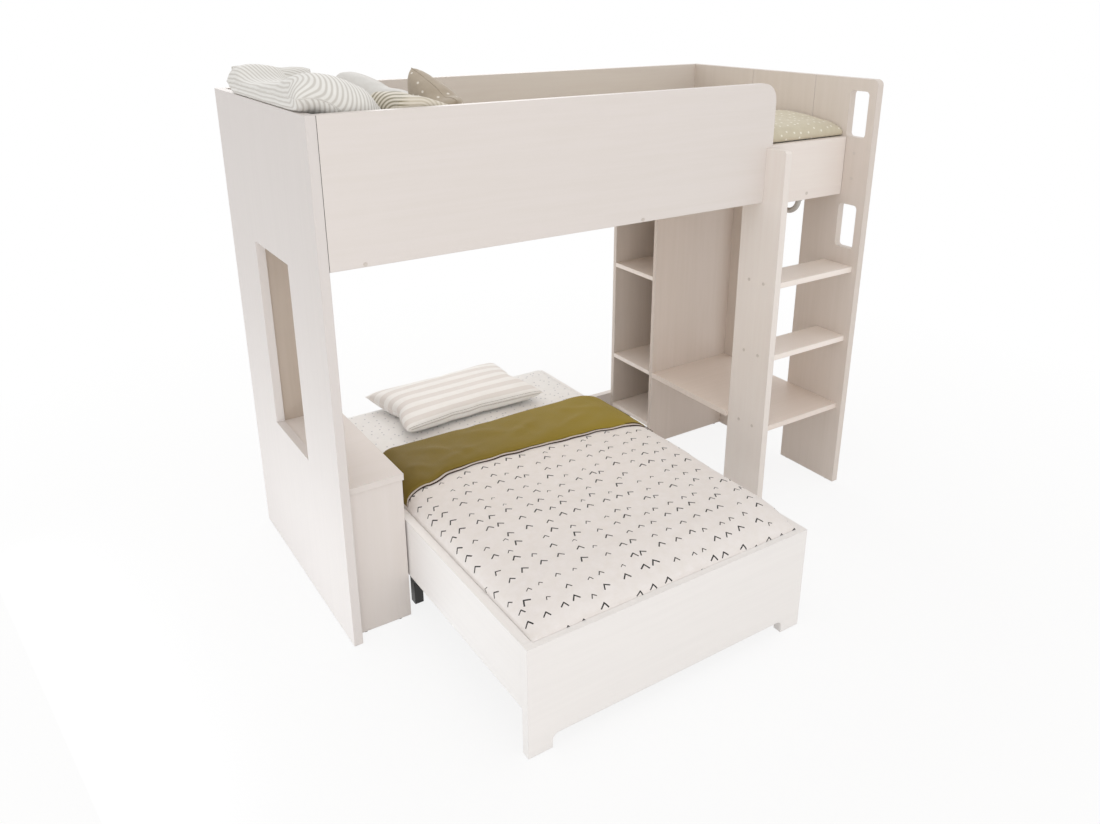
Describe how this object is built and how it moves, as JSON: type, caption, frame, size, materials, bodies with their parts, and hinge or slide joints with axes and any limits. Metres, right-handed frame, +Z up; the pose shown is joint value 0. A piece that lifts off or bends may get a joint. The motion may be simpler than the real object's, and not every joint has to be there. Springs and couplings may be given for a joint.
{
  "type": "l-shaped bunk bed",
  "caption": "L-shaped bunk bed: cream high bed with ladder, wardrobe bench and shelf column, and a low bed at right angles below, both made up with bedding",
  "frame": {"origin": "On the floor, at the middle of the bounding box of both beds and their bedding", "axes": "+X runs along the high bed from the window panel to the ladder end, +Y from the ladder side to the wall side, +Z up"},
  "size_m": [2.06, 1.557, 1.6898],
  "materials": {
    "cream_board": "satin melamine-faced board in warm off-white",
    "bare_wood": "planed, unfinished",
    "grey_metal": "satin grey",
    "cap_plastic": "matt",
    "glide_plastic": "matt",
    "black_legs": "painted black, satin",
    "white_cotton": "woven, with tiny dark flecks",
    "olive_cotton": "woven",
    "striped_cotton": "woven, with soft stripes",
    "plain_cotton": "woven",
    "dotted_cotton": "woven, with small pale dots"
  },
  "bodies": {
    "loft": {"left_end_panel": "cream_board", "front_guard": "cream_board", "entry_rail": "cream_board", "back_guard": "cream_board", "right_front_panel": "cream_board", "right_upper_board": "cream_board", "right_rear_panel": "cream_board", "ladder_post": "cream_board", "lower_tread": "cream_board", "upper_tread": "cream_board", "bench": "cream_board", "partition": "cream_board", "column_rear_side": "cream_board", "column_top": "cream_board", "low_shelf": "cream_board", "middle_shelf": "cream_board", "high_shelf": "cream_board", "low_stretcher": "cream_board", "tower_back": "cream_board", "cabinet_top": "cream_board", "cabinet_front": "cream_board", "cabinet_side": "cream_board", "cabinet_bottom": "cream_board", "front_bearer": "bare_wood", "back_bearer": "bare_wood", "high_bed_slats": "bare_wood", "clothes_rail": "grey_metal", "rail_flanges": "grey_metal", "screw_caps": "cap_plastic", "high_bed_glides": "glide_plastic"},
    "lower_bed": {"footboard": "cream_board", "head_rail": "cream_board", "left_side_rail": "cream_board", "right_side_rail": "cream_board", "left_ledge": "bare_wood", "right_ledge": "bare_wood", "centre_beam": "bare_wood", "low_bed_slats": "bare_wood", "low_bed_legs": "black_legs", "low_bed_glides": "glide_plastic"},
    "low_mattress": {"low_mattress": "white_cotton"},
    "low_duvet": {"low_duvet": "white_cotton", "duvet_fold": "olive_cotton"},
    "low_pillow": {"low_pillow": "striped_cotton"},
    "high_mattress": {"high_mattress": "white_cotton"},
    "high_duvet": {"high_duvet": "dotted_cotton"},
    "striped_pillow": {"striped_pillow": "striped_cotton"},
    "folded_throw": {"folded_throw": "striped_cotton"},
    "second_pillow": {"second_pillow": "striped_cotton"},
    "plain_pillow": {"plain_pillow": "plain_cotton"},
    "dotted_cushion": {"dotted_cushion": "dotted_cotton"}
  },
  "joints": [
    {"name": "lower_bed_pull", "type": "slide", "parent": "loft", "child": "lower_bed", "axis": [0, -1, 0], "range_m": [0, 0.6]},
    {"name": "low_mattress_lift", "type": "slide", "parent": "lower_bed", "child": "low_mattress", "axis": [0, 0, 1], "range_m": [0, 0.15]},
    {"name": "low_duvet_lift", "type": "slide", "parent": "low_mattress", "child": "low_duvet", "axis": [0, 0, 1], "range_m": [0, 0.1]},
    {"name": "low_pillow_lift", "type": "slide", "parent": "low_mattress", "child": "low_pillow", "axis": [0, 0, 1], "range_m": [0, 0.1]},
    {"name": "high_mattress_lift", "type": "slide", "parent": "loft", "child": "high_mattress", "axis": [0, 0, 1], "range_m": [0, 0.15]},
    {"name": "high_duvet_lift", "type": "slide", "parent": "high_mattress", "child": "high_duvet", "axis": [0, 0, 1], "range_m": [0, 0.1]},
    {"name": "striped_pillow_lift", "type": "slide", "parent": "high_mattress", "child": "striped_pillow", "axis": [0, 0, 1], "range_m": [0, 0.1]},
    {"name": "folded_throw_lift", "type": "slide", "parent": "high_mattress", "child": "folded_throw", "axis": [0, 0, 1], "range_m": [0, 0.1]},
    {"name": "second_pillow_lift", "type": "slide", "parent": "high_mattress", "child": "second_pillow", "axis": [0, 0, 1], "range_m": [0, 0.1]},
    {"name": "plain_pillow_lift", "type": "slide", "parent": "high_mattress", "child": "plain_pillow", "axis": [0, 0, 1], "range_m": [0, 0.1]},
    {"name": "dotted_cushion_lift", "type": "slide", "parent": "high_mattress", "child": "dotted_cushion", "axis": [0, 0, 1], "range_m": [0, 0.1]}
  ]
}
